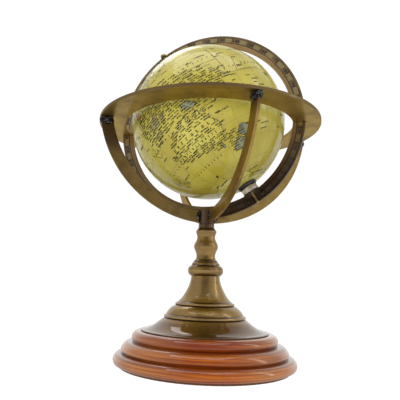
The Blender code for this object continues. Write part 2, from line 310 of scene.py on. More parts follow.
def turned(name, outline, steps=112):
    """Spin an outline of (radius, height) points, in millimetres, round the upright axis."""
    radius, height = outline[0]
    bpy.ops.mesh.primitive_plane_add(size=MM, location=(radius * MM, 0, height * MM))
    piece = named(name)
    bpy.ops.object.mode_set(mode="EDIT")
    whole(bpy.ops.mesh.merge, type="CENTER")
    for (r0, z0), (r1, z1) in zip(outline, outline[1:]):
        step = ((r1 - r0) * MM, 0, (z1 - z0) * MM)
        bpy.ops.mesh.extrude_region_move(TRANSFORM_OT_translate={"value": step})
    whole(bpy.ops.mesh.spin, steps=steps, angle=2 * pi, center=(0, 0, 0), axis=(0, 0, 1))
    whole(bpy.ops.mesh.remove_doubles, threshold=MERGE_WITHIN)
    bpy.ops.mesh.normals_make_consistent(inside=False)
    bpy.ops.object.mode_set(mode="OBJECT")
    bpy.ops.object.transform_apply()
    smooth_by_angle(piece)
    return piece


def fit(piece, material, slot, body, *replaced):
    """Give a piece its finish, the body that it rides on, and the CAD nodes that it stands for."""
    piece.data.materials.clear()
    piece.data.materials.append(material)
    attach(piece, body)
    if replaced:
        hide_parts(*replaced)


ROD_HOLE_R = 3.3
WOOD_TOP, WOOD_BOTTOM = 26.4, 1.8
RECESS_R, RECESS_TOP = 10.0, 9.8
upper_tier = [(51.6, WOOD_TOP), (54.2, 25.8), (56.1, 24.0), (56.8, 21.9), (56.4, 20.0), (55.7, 18.9)]
middle_tier = [
    (55.7, 18.9), (57.3, 18.7), (60.3, 18.2), (62.7, 16.5), (64.3, 14.2), (64.9, 12.4), (64.2, 11.0),
]
lower_tier = [
    (63.7, 10.4), (65.4, 10.2), (67.6, 9.7), (69.5, 8.1), (70.5, 6.0), (70.6, 4.2), (69.8, 2.5),
]
base_outline = [(ROD_HOLE_R, WOOD_TOP), (40.0, WOOD_TOP)] + rounded(upper_tier)
base_outline += rounded(middle_tier)[1:] + lower_tier[:1] + rounded(lower_tier)[1:]
base_outline += [(68.2, WOOD_BOTTOM), (40.0, WOOD_BOTTOM), (RECESS_R, WOOD_BOTTOM), (RECESS_R, RECESS_TOP)]
base_outline += [(ROD_HOLE_R, RECESS_TOP), (ROD_HOLE_R, WOOD_TOP)]

GRAIN_TURN = radians(20)
STAINED_DARK, STAINED_LIGHT = (0.13, 0.014, 0.001), (0.37, 0.092, 0.002)
# Lighter tones for the painted sheen on the base's left and right as the camera sees it.
SHEEN_DARK, SHEEN_LIGHT = (0.205, 0.055, 0.012), (0.43, 0.165, 0.03)
SHADED_HOLLOWS = (0.019, 0.0105)  # heights in metres between the tiers, darkened with painted shade under each tier

wood = Finish("varnished_wood", Coat_Weight=1.0, Coat_Roughness=0.05, Specular_IOR_Level=0.1)
radius = wood.length(wood.vector_math("MULTIPLY", wood.place, (1, 1, 0)))
along = wood.dot(wood.place, (cos(GRAIN_TURN), sin(GRAIN_TURN), 0))
height = wood.axis("Z", wood.place)


def grain(lengthwise, outward, upward, detail):
    """Long streaks that bend round the tiers, as the tool's marks and the stain do."""
    return wood.streaks(along * lengthwise, radius * outward, height * upward, detail)


figure = grain(9, 130, 260, 4.0)
fibre = grain(24, 900, 1300, 3.0)
pores = wood.fade(grain(60, 1300, 2100, 1.0), 0.6, 0.7)
ripe = wood.fade(figure * 0.45 + fibre * 0.55, 0.38, 0.66)
# Painted sheen: lighter towards the left and right as the camera sees the base, plain stain down its middle.
sheen_sides = wood.fade(abs(along), 0.01, 0.044) * 0.85
stained = wood.mix(ripe, STAINED_DARK, STAINED_LIGHT)
wood_colour = wood.mix(sheen_sides, stained, wood.mix(ripe, SHEEN_DARK, SHEEN_LIGHT))
wood_colour = wood.mix(pores * 0.4, wood_colour, (0.07, 0.01, 0.001))
# Painted shade in the quirk under each tier.
for hollow in SHADED_HOLLOWS:
    hollow_shade = wood.fade(abs(height - hollow), 0.003, 0.0004) * 0.6
    wood_colour = wood.mix(hollow_shade, wood_colour, (0.085, 0.009, 0.001))
base = turned("base_turning", base_outline, 144)
base_finish = wood.surface(wood_colour, 0.42, fibre - pores * 0.8, 0.00004)
fit(base, base_finish, "wood", "stand", "wood_base")


# Rod, washer and nut --------------------------------------------
# A zinc-plated threaded rod runs up the middle and a nut in the base's recess draws base, foot, knop
# and stem together. The felt and the brass hide them.

THREADS_PER_METRE = 1000
zinc = Finish("zinc_steel", Metallic=1.0)
plating = zinc.noise(500)
thread = (zinc.axis("Z", zinc.place) * (2 * pi * THREADS_PER_METRE)).math("SINE")
zinc_colour = zinc.mix(plating, (0.42, 0.42, 0.44), (0.62, 0.61, 0.58))
zinc_finish = zinc.surface(zinc_colour, 0.25 + plating * 0.25, thread, 0.0002)
for node in ("tie_rod", "base_washer", "base_nut"):
    dress(node, zinc_finish)


# Bell foot, knop and stem ---------------------------------------
# Brass, spun and turned, then browned to look old and lacquered. The polishing lines run round each
# piece, and dark patina stays in the quirks while the ridges are rubbed bright and carry a painted highlight.

RUBBED_AND_HIGHLIGHT = (0.5, 0.33, 0.12)
CUT_BLACK = (0.012, 0.008, 0.006)
BRASS_SPECULAR = (0.42, 0.36, 0.28, 1.0)


def aged_brass(
    name, plane=(1, 1, 0), centre=(0, 0, 0), bright=(0.35, 0.212, 0.05), dark=(0.118, 0.058, 0.017),
    tarnish=0.5, gloss=0.36, lacquer=0.6, quirks=(), ridges=(), browned_below=0.0, browned_above=1.0,
    browned_beyond=1.0, engraved=(), engraved_above=0.0,
):
    """Lacquered old brass. The polish lines circle a centre in the plane given as a mask of axes.

    Lengths are in metres. Quirks are heights where patina stays and ridges heights that are rubbed
    bright, with a painted highlight. All that lies lower than browned_below, higher than
    browned_above or farther out than browned_beyond is darker. Engraved are the radii of lines cut in
    whatever lies over engraved_above.
    """
    metal = Finish(name, Metallic=1.0, Specular_Tint=BRASS_SPECULAR, Coat_Weight=lacquer, Coat_Roughness=0.05)
    reach = metal.vector_math("SUBTRACT", metal.place, centre)
    radius = metal.length(metal.vector_math("MULTIPLY", reach, plane))
    depth = metal.dot(reach, tuple(1 - axis for axis in plane))
    lines = metal.streaks(radius * 2600, depth * 2600)
    blotch = metal.noise(75, 5.0)
    speck = metal.noise(900, 2.0)
    patina = metal.fade(blotch * 0.75 + speck * 0.25, 0.42, 0.68) * tarnish
    height = metal.axis("Z", metal.place)
    for quirk in quirks:
        patina = patina.over(metal.fade(abs(height - quirk), 0.0011, 0.0002))
    patina = patina.over(metal.fade(height, browned_below, browned_below - 0.004) * 0.85)
    patina = patina.over(metal.fade(height, browned_above, browned_above + 0.014))
    patina = patina.over(metal.fade(radius, browned_beyond, browned_beyond + 0.0004))
    colour = metal.mix(patina, bright, dark)
    colour = metal.mix(metal.fade(lines, 0.3, 0.7) * 0.3, colour, dark)
    # Ridges rubbed bright, with a painted highlight along each crest.
    for ridge in ridges:
        colour = metal.mix(metal.fade(abs(height - ridge), 0.0007, 0.0) * 0.55, colour, RUBBED_AND_HIGHLIGHT)
    for circle in engraved:
        on_top = metal.fade(height, engraved_above, engraved_above + 0.0001)
        cut = metal.fade(abs(radius - circle), 0.00026, 0.00012) * on_top
        colour = metal.mix(cut * 0.85, colour, CUT_BLACK)
    roughness = gloss + patina * 0.14 + lines * 0.08
    return metal.surface(colour, roughness, lines + speck * 0.3, 0.000016)


BELL_TOP, BELL_INSIDE, KNOP_TOP, STEM_TOP = 69.28, 67.6, 77.58, 111.28
neck = [
    (11.4, BELL_TOP), (11.7, 66.4), (12.4, 63.6), (13.4, 61.0), (14.6, 58.5), (16.2, 55.5), (18.2, 52.5),
    (20.6, 49.9), (21.9, 48.8),
]
upper_bead = [(22.2, 48.8), (23.0, 48.5), (23.5, 47.8), (23.4, 47.0), (22.9, 46.7)]
shoulder = [(23.5, 46.5), (25.6, 45.4), (27.9, 43.5), (29.7, 41.2), (30.6, 39.4)]
lower_bead = [(31.1, 39.2), (31.9, 38.8), (32.4, 38.0), (32.2, 37.1), (31.7, 36.8)]
flare = [(32.4, 36.4), (35.6, 33.9), (38.7, 31.6), (42.4, 29.4), (46.4, 27.9), (49.4, 27.5)]
inside = [
    (48.8, 26.7), (46.2, 26.9), (41.8, 28.2), (30.6, 36.2), (28.6, 40.4), (20.6, 47.8), (15.0, 54.6),
    (11.2, 62.8), (10.2, BELL_INSIDE),
]
bell_outline = [(ROD_HOLE_R, BELL_TOP)]
for curve in (neck, upper_bead, shoulder, lower_bead, flare):
    bell_outline += rounded(curve)
bell_outline += [(49.8, 27.2), (49.8, 26.8)] + rounded(inside, 2)
bell_outline += [(ROD_HOLE_R, BELL_INSIDE), (ROD_HOLE_R, BELL_TOP)]
bell_finish = aged_brass(
    "foot_brass", quirks=(0.049, 0.0465, 0.0393, 0.0366), ridges=(0.0478, 0.0379), tarnish=0.45,
    browned_below=0.037, gloss=0.3, lacquer=1.0,
)
fit(turned("foot_spinning", bell_outline, 144), bell_finish, "antique_brass", "stand", "bell_foot")

knop_side = [
    (11.5, KNOP_TOP), (13.1, 76.4), (13.9, 75.1), (14.1, 73.5), (13.8, 71.9), (12.9, 70.3), (11.6, 69.3),
]
knop_outline = [(ROD_HOLE_R, KNOP_TOP)] + rounded(knop_side) + [(ROD_HOLE_R, 69.3), (ROD_HOLE_R, KNOP_TOP)]
stem_side = [
    (6.3, 109.5), (6.5, 107.8), (7.3, 106.4), (8.2, 105.2), (8.3, 104.3), (7.6, 102.4), (7.2, 100.0),
    (7.8, 97.7), (9.0, 95.3), (9.6, 93.6), (9.6, 91.8), (9.0, 90.2), (8.0, 87.9), (7.5, 85.5),
    (7.8, 83.3), (8.6, 82.0), (9.5, 81.2),
]
stem_foot = [(9.7, 80.3), (10.7, 79.4), (11.1, 78.6), (11.3, 77.6)]
SPIGOT_R, SPIGOT_TOP, ROD_HOLE_TOP = 3.0, 113.4, 100.0
stem_outline = [(0, SPIGOT_TOP), (SPIGOT_R, SPIGOT_TOP), (SPIGOT_R, STEM_TOP), (6.1, STEM_TOP), (6.3, 110.8)]
stem_outline += rounded(stem_side) + rounded(stem_foot)
stem_outline += [(ROD_HOLE_R, 77.6), (ROD_HOLE_R, ROD_HOLE_TOP), (0, ROD_HOLE_TOP)]
stem_finish = aged_brass(
    "stem_brass", quirks=(0.0693, 0.0774, 0.0808, 0.1065), ridges=(0.1048, 0.0735),
    dark=(0.09, 0.046, 0.018), gloss=0.28, browned_above=0.098, lacquer=0.8,
)
fit(turned("knop_turning", knop_outline, 96), stem_finish, "antique_brass", "stand", "stem_knop")
fit(turned("stem_turning", stem_outline, 80), stem_finish, "antique_brass", "stand", "stem_baluster")


# Hub ------------------------------------------------------------
# A short round brass block on the stem's spigot. A slot milled across its top lets the meridian ring
# run through, and the four arms are soldered round it.


def modified(piece, kind, **settings):
    """Put one modifier on a piece and apply it."""
    only(piece)
    modifier = piece.modifiers.new(kind, kind)
    for name, value in settings.items():
        setattr(modifier, name, value)
    bpy.ops.object.modifier_apply(modifier=modifier.name)


def bevelled(piece, width, segments=2):
    """Break a piece's sharp edges, and keep its flat faces flat."""
    edges = {"limit_method": "ANGLE", "angle_limit": radians(42)}
    modified(piece, "BEVEL", width=width * MM, segments=segments, **edges)
    smooth_by_angle(piece)
    modified(piece, "WEIGHTED_NORMAL", weight=100, keep_sharp=True)


def milled(piece, size, at):
    """Cut a box-shaped slot; size and place in millimetres."""
    bpy.ops.mesh.primitive_cube_add(size=1.0, location=Vector(at) * MM)
    cutter = bpy.context.object
    cutter.scale = Vector(size) * MM
    bpy.ops.object.transform_apply()
    modified(piece, "BOOLEAN", operation="DIFFERENCE", solver="EXACT", object=cutter)
    bpy.data.objects.remove(cutter, do_unlink=True)


RING_Z = 193.3
MERIDIAN_R_OUT, MERIDIAN_R_IN, MERIDIAN_T = 77.6, 68.2, 3.0
GAP = 0.3
NOTCH = MERIDIAN_T + 2 * GAP
HUB_R, HUB_TOP, HUB_BOTTOM, SOCKET_TOP = 6.3, 122.1, 111.3, 113.7
SLOT_DEPTH = 10.0

hub_side = [(0, HUB_TOP), (HUB_R, HUB_TOP), (HUB_R, HUB_BOTTOM)]
socket = [(SPIGOT_R + GAP, HUB_BOTTOM), (SPIGOT_R + GAP, SOCKET_TOP), (0, SOCKET_TOP)]
hub = turned("hub_block", hub_side + socket, 72)
slot_floor = RING_Z - MERIDIAN_R_OUT - GAP
milled(hub, (4 * HUB_R, NOTCH, SLOT_DEPTH), (0, 0, slot_floor + SLOT_DEPTH / 2))
bevelled(hub, 0.35)
hub_finish = aged_brass("hub_brass", bright=(0.135, 0.08, 0.042), dark=(0.06, 0.034, 0.02), tarnish=0.8)
fit(hub, hub_finish, "antique_brass", "stand", "cradle_hub")


# Arms -----------------------------------------------------------
# Four brass strips bent on edge, from the hub up to the horizon ring. Each is polished along its curve,
# and its edges are just broken.


def bent_strip(name, radius_in, radius_out, thickness, start, end, steps, centre_z=0.0):
    """Bend a flat strip on edge, in the XZ plane: a cross-section spun from start to end, up from +X."""
    middle = (radius_in + radius_out) / 2 * MM
    centre = Vector((0, 0, centre_z * MM))
    at = centre + Vector((middle * cos(start), 0, middle * sin(start)))
    bpy.ops.mesh.primitive_plane_add(size=1.0, location=at, rotation=(0, -start, 0))
    strip = named(name)
    strip.scale = ((radius_out - radius_in) * MM, thickness * MM, 1.0)
    bpy.ops.object.transform_apply()
    bpy.ops.object.mode_set(mode="EDIT")
    whole(bpy.ops.mesh.delete, type="ONLY_FACE")
    whole(bpy.ops.mesh.spin, steps=steps, angle=end - start, center=centre, axis=(0, 1, 0))
    whole(bpy.ops.mesh.remove_doubles, threshold=MERGE_WITHIN)
    bpy.ops.mesh.fill_holes(sides=4)
    whole(bpy.ops.mesh.normals_make_consistent, inside=False)
    bpy.ops.object.mode_set(mode="OBJECT")
    return strip


def sawn(piece, at, facing):
    """Cut a piece square with a plane, and drop what lies on the side that the plane faces."""
    only(piece)
    bpy.ops.object.mode_set(mode="EDIT")
    whole(bpy.ops.mesh.bisect, plane_co=Vector(at) * MM, plane_no=facing, use_fill=True, clear_outer=True)
    bpy.ops.object.mode_set(mode="OBJECT")


def placed(piece, placing):
    """Move a piece by a matrix and apply it, so that the piece's own origin stays at the world's."""
    only(piece)
    piece.matrix_world = placing
    bpy.ops.object.transform_apply()
    return piece


def copies(pattern, placings):
    """A named copy of a pattern piece for each placing; the pattern itself goes."""
    made = []
    for name, placing in placings.items():
        only(pattern)
        bpy.ops.object.duplicate()
        made.append(placed(named(name), placing))
    bpy.data.objects.remove(pattern, do_unlink=True)
    return made


ARM_R_OUT, ARM_R_IN, ARM_T, ARM_CENTRE_Z = 90.1, 80.5, 2.4, 201.6
HORIZON_Z, HORIZON_T = 189.9, 2.4
HORIZON_R_OUT, HORIZON_R_IN = 89.4, 68.3
ARM_TURNS = {"back_right": 36, "back_left": 126, "front_left": 216, "front_right": 307}

arm = bent_strip("arm", ARM_R_IN, ARM_R_OUT, ARM_T, radians(-88), radians(-4), 56, ARM_CENTRE_Z)
sawn(arm, (0, 0, HORIZON_Z - GAP), (0, 0, 1))
sawn(arm, (HUB_R + GAP, 0, 0), (-1, 0, 0))
bevelled(arm, 0.3)
turns = {"strip_" + side: Matrix.Rotation(radians(turn), 4, "Z") for side, turn in ARM_TURNS.items()}
for side, piece in zip(ARM_TURNS, copies(arm, turns)):
    tone, brown_top = (1.1, 0.158) if side == "front_left" else (1.55, 0.172)  # the front-left arm is darker than the others
    arm_finish = aged_brass(
        "arm_brass_" + side, (1, 1, 1), (0, 0, ARM_CENTRE_Z * MM), tarnish=0.7, gloss=0.38, lacquer=0.3,
        bright=(0.265 * tone, 0.175 * tone, 0.048 * tone), dark=(0.095 * tone, 0.055 * tone, 0.020 * tone),
        browned_above=brown_top,
    )
    fit(piece, arm_finish, "antique_brass", "stand", "arm_" + side)


# Horizon ring ---------------------------------------------------
# A flat brass ring, notched at two sides of its inner edge where the meridian ring passes. Its top
# carries a plain scale of degrees, stamped and filled with black.


def ring_marks(name, radius, placing, marks, size, boldness, first=0):
    """Numbers round a flat ring, as thin black fillings, read from outside; placing lays them down."""
    numbers = []
    for mark in marks:
        bpy.ops.object.text_add(location=(0, 0, 0))
        number = bpy.context.object
        number.data.body = f"{(first + mark) % 360:03d}"
        number.data.size = size * MM
        number.data.offset = boldness * MM
        number.data.align_x = number.data.align_y = "CENTER"
        number.data.resolution_u = 2
        number.data.extrude = 0.02 * MM
        number.data.space_character = 1.05
        bpy.ops.object.convert(target="MESH")
        turn = Matrix.Rotation(-radians(mark), 4, "Z")
        outward = Matrix.Translation((0, radius * MM, 0))
        numbers.append(placed(bpy.context.object, placing @ turn @ outward))
    for number in numbers:
        number.select_set(True)
    bpy.context.view_layer.objects.active = numbers[0]
    bpy.ops.object.join()
    return named(name)


HORIZON_TOP = HORIZON_Z + HORIZON_T
HORIZON_SCALE_R, NOTCH_CUTTER = 83.4, 20.0
band = [(HORIZON_R_IN, HORIZON_Z), (HORIZON_R_OUT, HORIZON_Z)]
band += [(radius, HORIZON_TOP) for radius, _ in band[::-1]] + band[:1]
horizon = turned("horizon_band", band, 160)
for side in (1, -1):
    middle = side * (MERIDIAN_R_OUT + GAP - NOTCH_CUTTER / 2)
    milled(horizon, (NOTCH_CUTTER, NOTCH, 8.0), (middle, 0, HORIZON_Z + HORIZON_T / 2))
bevelled(horizon, 0.3)
horizon_finish = aged_brass(
    "horizon_brass", bright=(0.54, 0.39, 0.12), dark=(0.22, 0.148, 0.056), tarnish=0.65, gloss=0.34,
    lacquer=0.25, browned_beyond=0.0887, engraved=(0.072, 0.08, 0.0867), engraved_above=0.19205,
)
fit(horizon, horizon_finish, "antique_brass", "stand", "horizon_ring")

filling_black = (0.008, 0.006, 0.005), (0.03, 0.02, 0.012)
ink_finish = mottled("scale_filling", 1500, 3.0, *filling_black, 0.5, 0.00002, Specular_IOR_Level=0.4)
on_top = Matrix.Translation((0, 0, HORIZON_TOP * MM))
clear_of_notches = [turn for turn in range(0, 360, 10) if turn not in (90, 270)]
numerals = ring_marks("horizon_numerals", HORIZON_SCALE_R, on_top, clear_of_notches, 4.0, 0.08)
fit(numerals, ink_finish, "dark_brass", "stand")


# Solder ---------------------------------------------------------
# Each arm is soldered to the ring and to the hub by hand, and the joints are left as lumps that the
# flux and the browning have turned black.


def solder_lump(name, size, at, turn, seed):
    """A ragged blob; size and place in millimetres, turn about the upright axis."""
    bpy.ops.mesh.primitive_ico_sphere_add(subdivisions=4, radius=0.5)
    lump = named(name)
    lump.scale = Vector(size) * MM
    lump.location = at * MM
    lump.rotation_euler = (0, 0, turn)
    bpy.ops.object.transform_apply()
    bpy.ops.object.mode_set(mode="EDIT")
    whole(bpy.ops.transform.vertex_random, offset=0.7 * MM, seed=seed)
    bpy.ops.mesh.vertices_smooth(factor=0.5, repeat=2)
    bpy.ops.object.mode_set(mode="OBJECT")
    smooth_by_angle(lump, 80)
    return lump


flux = Finish("burnt_solder", Metallic=0.75)
crust = flux.noise(900, 4.0)
pits = flux.noise(260, 2.0)
flux_colour = flux.mix(flux.fade(crust, 0.5, 0.66), (0.004, 0.004, 0.004), (0.15, 0.15, 0.155))
flux_finish = flux.surface(flux_colour, 0.18 + pits * 0.3, crust + pits, 0.0006)
JOINTS = (  # name, distance from the upright axis, height, size, seed
    ("top", 84.4, HORIZON_Z - 2.4, (11.6, 7.9, 8.2), 10),
    ("hub", 7.3, 117.2, (4.2, 4.3, 8.6), 20),
)
for number, (side, turn) in enumerate(ARM_TURNS.items()):
    angle = radians(turn)
    for joint, reach, rise, size, seed in JOINTS:
        at = Vector((reach * cos(angle), reach * sin(angle), rise))
        lump = solder_lump(f"solder_{joint}_{side}", size, at, angle, seed + number)
        fit(lump, flux_finish, "dark_brass", "stand")


# Meridian ring --------------------------------------------------
# Two half rings of brass strip that meet at the poles. The front is stamped with degrees between two
# lines, with a bright box between each two numbers. Its lower half is darker on all but the back face,
# and nearly black by the south pole.

POLE_TILT = radians(32.4)
AXLE_R = 1.5
SCALE_R = 73.85  # middle of the numbers
ring_frame = Matrix.Translation((0, 0, RING_Z * MM)) @ Matrix.Rotation(-POLE_TILT, 4, "Y")
north = ring_frame.to_3x3() @ Vector((0, 0, 1))
south_pole = Vector((0, 0, RING_Z * MM)) - north * (MERIDIAN_R_OUT * MM)


def scale_brass():
    """Brass with the engraved scale; radii in millimetres and turns in degrees from the north pole."""
    metal = Finish(
        "scale_brass", Metallic=1.0, Specular_Tint=BRASS_SPECULAR, Coat_Weight=0.4, Coat_Roughness=0.14
    )
    reach = metal.vector_math("SUBTRACT", metal.place, (0, 0, RING_Z * MM))
    x, y, z = (metal.axis(name, reach) for name in "XYZ")
    radius = metal.length(metal.vector_math("MULTIPLY", reach, (1, 0, 1))) * (1 / MM)
    turn = x.math("ARCTAN2", z) * (180 / pi) + POLE_TILT * (180 / pi) + 360
    front = metal.fade(y, -0.0012, -0.0014)
    from_middle = abs(radius - SCALE_R)

    from_number = abs((turn * 0.1 + 0.5).math("FRACT") - 0.5)
    box = metal.fade(from_middle, 1.75, 1.6) * metal.fade(from_number, 0.25, 0.265) * front
    lines_round = metal.fade(abs(from_middle - 2.2), 0.32, 0.16)
    fine_lines = metal.fade(abs(abs(radius - 70.2) - 0.7), 0.22, 0.08) * 0.6
    box_edge = metal.fade(abs(from_number - 0.255), 0.02, 0.01) * metal.fade(from_middle, 2.1, 2.0)
    from_degree = abs((turn + 0.5).math("FRACT") - 0.5)
    ticks = metal.fade(from_degree, 0.16, 0.08) * metal.fade(radius, 76.2, 76.4) * 0.8
    engraved = lines_round.over(fine_lines).over(box_edge * 0.8).over(ticks) * front

    lines = metal.streaks(radius * 2.6, turn * 0.15)
    blotch = metal.noise(90, 5.0)
    speck = metal.noise(1100)
    from_south = metal.vector_math("DISTANCE", metal.place, tuple(south_pole), "Value")
    # Darker towards the south pole and towards the bottom, on all but the back face.
    darker_lower_half = metal.fade(from_south + blotch * 0.02, 0.1, 0.028)
    darker_lower_half = darker_lower_half.over(metal.fade(z + blotch * 0.02, 0.022, -0.024) * 0.55)
    darker_lower_half = darker_lower_half * metal.fade(y, 0.0013, 0.0011)

    tarnish = metal.fade(blotch * 0.7 + speck * 0.3, 0.38, 0.66)
    colour = metal.mix(tarnish, (0.42, 0.29, 0.14), (0.21, 0.135, 0.066))
    colour = metal.mix(metal.fade(radius, 71.2, 71.0) * 0.6, colour, (0.58, 0.38, 0.16))
    # Painted shade along the outer edge, which dims the bright line on its bevel.
    colour = metal.mix(metal.fade(radius, 77.2, 77.45) * 0.85, colour, (0.05, 0.032, 0.018))
    colour = metal.mix(box * 0.6, colour, (0.5, 0.41, 0.2))
    colour = metal.mix(darker_lower_half * 0.93, colour, (0.036, 0.016, 0.009))
    colour = metal.mix(engraved * 0.9, colour, (0.014, 0.009, 0.006))
    relief = lines * 0.4 + speck * 0.2 - engraved * 3
    return metal.surface(colour, 0.34 + blotch * 0.15, relief, 0.00003)


scale_finish = scale_brass()
end_gap = asin((AXLE_R + GAP) / MERIDIAN_R_OUT) * 0.7
half_turn = pi / 2 - end_gap
strip = bent_strip("upper", MERIDIAN_R_IN, MERIDIAN_R_OUT, MERIDIAN_T, -half_turn, half_turn, 110)
sawn(strip, (AXLE_R + GAP, 0, 0), (-1, 0, 0))
bevelled(strip, 0.22)
halves = {"upper": ring_frame, "lower": ring_frame @ Matrix.Rotation(pi, 4, "Z")}
placings = {"meridian_strip_" + half: placing for half, placing in halves.items()}
for half, piece in zip(halves, copies(strip, placings)):
    fit(piece, scale_finish, "scale_brass", "meridian", "meridian_half_" + half)

on_front = ring_frame @ Matrix.Translation((0, -MERIDIAN_T / 2 * MM, 0)) @ Matrix.Rotation(pi / 2, 4, "X")
clear_of_poles = [turn for turn in range(0, 360, 10) if turn % 180]
numerals = ring_marks("meridian_numerals", SCALE_R, on_front, clear_of_poles, 3.8, 0.2, first=90)
fit(numerals, ink_finish, "dark_brass", "meridian")


# Axle, spacers and dome nut -------------------------------------
# A bright brass rod through both poles, nickel-plated turned spacers that hold the ball off the ring,
# and a small domed nut outside the north pole.

POLES = {"north": 1, "south": -1}
BORE = AXLE_R + GAP


def polished(name, bright, dark, gloss, line_scale):
    """Turned metal on the polar axle: fine lines across the axle's direction."""
    metal = Finish(name, Metallic=1.0)
    lines = metal.streaks(metal.dot(metal.place, tuple(north)) * line_scale, detail=4.0)
    smudge = metal.noise(300)
    colour = metal.mix(metal.fade(lines * 0.7 + smudge * 0.3, 0.35, 0.65), bright, dark)
    return metal.surface(colour, gloss + smudge * 0.15, lines, 0.00006)


def on_axle(piece, pole="north", lift=0.0):
    """Lay a piece that was turned upright along the polar axle, its top to one of the poles."""
    turned_over = Matrix.Rotation(0.0 if pole == "north" else pi, 4, "X")
    return placed(piece, ring_frame @ turned_over @ Matrix.Translation((0, 0, lift * MM)))


GLOBE_R, GLOBE_SHIFT, CAP_T = 62.5, 1.4, 2.4
axle_top, axle_bottom, chamfer = MERIDIAN_R_OUT + 2.4, 0.2 - MERIDIAN_R_OUT, 0.3
axle = turned("axle_rod", [
    (0, axle_top), (AXLE_R - chamfer, axle_top), (AXLE_R, axle_top - chamfer),
    (AXLE_R, axle_bottom + chamfer), (AXLE_R - chamfer, axle_bottom), (0, axle_bottom),
], 40)
axle_finish = polished("axle_brass", (0.38, 0.28, 0.13), (0.18, 0.125, 0.055), 0.25, 1500)
fit(on_axle(axle), axle_finish, "bright_brass", "meridian", "polar_axle")

nickel_finish = polished("nickel_plate", (0.95, 0.88, 0.79), (0.5, 0.44, 0.37), 0.3, 1300)
for pole, radius in (("north", 5.2), ("south", 6.8)):
    low, high = GLOBE_R + GLOBE_SHIFT * POLES[pole] + CAP_T + GAP, MERIDIAN_R_IN - GAP
    spacer = turned(pole + "_spacer_turning", [
        (BORE, high), (radius - 0.4, high), (radius - 0.1, high - 0.1), (radius, high - 0.4),
        (radius, low + 0.4), (radius - 0.1, low + 0.1), (radius - 0.4, low), (BORE, low), (BORE, high),
    ], 64)
    fit(on_axle(spacer, pole), nickel_finish, "nickel", "meridian", pole + "_spacer")

NUT_R, NUT_T, NUT_BORE_DEPTH = 2.6, 3.4, 2.4
nut_low = MERIDIAN_R_OUT + GAP
bore_top = nut_low + NUT_BORE_DEPTH
dome = [
    (NUT_R * sin(step * pi / 20), nut_low + NUT_T * (0.35 + 0.65 * cos(step * pi / 20)))
    for step in range(11)
]
dome += [(NUT_R, nut_low), (BORE, nut_low), (BORE, bore_top), (0, bore_top)]
nut = on_axle(turned("dome_nut_turning", dome, 48))
fit(nut, axle_finish, "bright_brass", "meridian", "north_dome_nut")


# Splice straps and screws ---------------------------------------
# A short curved strap of browned brass lies behind each pole, and two slotted cheese-head screws from
# the front hold both half rings to it.

STRAP_T, STRAP_INSET, STRAP_HALF = 1.4, 0.4, radians(8.2)
strap_y = MERIDIAN_T / 2 + GAP + STRAP_T / 2
dark_finish = aged_brass(
    "browned_brass", (1, 0, 1), (0, 0, RING_Z * MM), bright=(0.03, 0.018, 0.01),
    dark=(0.008, 0.005, 0.004), tarnish=0.8, gloss=0.3,
)
strap = bent_strip(
    "strap", MERIDIAN_R_IN + STRAP_INSET, MERIDIAN_R_OUT - STRAP_INSET, STRAP_T,
    pi / 2 - STRAP_HALF, pi / 2 + STRAP_HALF, 18,
)
bevelled(strap, 0.25)
behind = ring_frame @ Matrix.Translation((0, strap_y * MM, 0))
placings = {"strap_north": behind, "strap_south": behind @ Matrix.Rotation(pi, 4, "Y")}
for pole, piece in zip(POLES, copies(strap, placings)):
    fit(piece, dark_finish, "dark_brass", "meridian", pole + "_splice_strap")

SCREW_OFFSET, HEAD_R, HEAD_T, SHANK_R = 6.2, 2.5, 1.5, 1.0
screw_pole_r = sqrt(((MERIDIAN_R_OUT + MERIDIAN_R_IN) / 2) ** 2 - SCREW_OFFSET**2)
tail = MERIDIAN_T + 2 * GAP + STRAP_T + 0.6
head = [(0, HEAD_T), (HEAD_R * 0.5, HEAD_T - 0.06), (HEAD_R * 0.85, HEAD_T * 0.8), (HEAD_R, HEAD_T * 0.4)]
shank = [(HEAD_R, 0), (SHANK_R, 0), (SHANK_R, chamfer - tail), (SHANK_R - chamfer, -tail), (0, -tail)]
screw = turned("screw", rounded(head, 3) + shank, 40)
milled(screw, (4 * HEAD_R, 0.7, 1.4), (0, 0, HEAD_T))
bevelled(screw, 0.08, 1)
placings = {}
for pole, pole_side in POLES.items():
    for half, side in (("upper", 1), ("lower", -1)):
        at = Vector((side * SCREW_OFFSET, -(MERIDIAN_T / 2 + GAP), pole_side * screw_pole_r)) * MM
        slot_turn = Matrix.Rotation(radians(35 * side + 20 * pole_side), 4, "Z")
        facing_front = ring_frame @ Matrix.Translation(at) @ Matrix.Rotation(pi / 2, 4, "X")
        placings[f"slotted_screw_{pole}_{half}"] = facing_front @ slot_turn
nodes = ("north_screw_upper", "north_screw_lower", "south_screw_upper", "south_screw_lower")
for node, piece in zip(nodes, copies(screw, placings)):
    fit(piece, dark_finish, "dark_brass", "meridian", node)


# Globe ball -----------------------------------------------------
# Two shells of pressed pulp board, joined at the equator over a band and covered with printed paper
# gores. The paper has yellowed under a glossy varnish.

BALL_AT = (Vector((0, 0, RING_Z)) + north * GLOBE_SHIFT) * MM
TUBE_HOLE_R, SHELL_WALL, HALF_SEAM = 3.7, 2.2, 0.02


def arc(radius, start, end, count):
    angles = [start + (end - start) * i / (count - 1) for i in range(count)]
    return [(radius * cos(a), radius * sin(a)) for a in angles]


def printed_paper(name, light, deep):
    """Old varnished paper between two tones, mottled, with a few small stains."""
    paper = Finish(name, Coat_Weight=0.6, Coat_Roughness=0.12, Specular_IOR_Level=0.2)
    mottle = paper.noise(38, 6.0)
    pulp = paper.noise(1400)
    stain = paper.fade(paper.noise(120, 2.0), 0.66, 0.78)
    colour = paper.mix(paper.fade(mottle * 0.85 + pulp * 0.15, 0.34, 0.66), light, deep)
    colour = paper.mix(stain * 0.35, colour, tuple(0.5 * part for part in deep))
    return paper.surface(colour, 0.48, pulp, 0.000012)


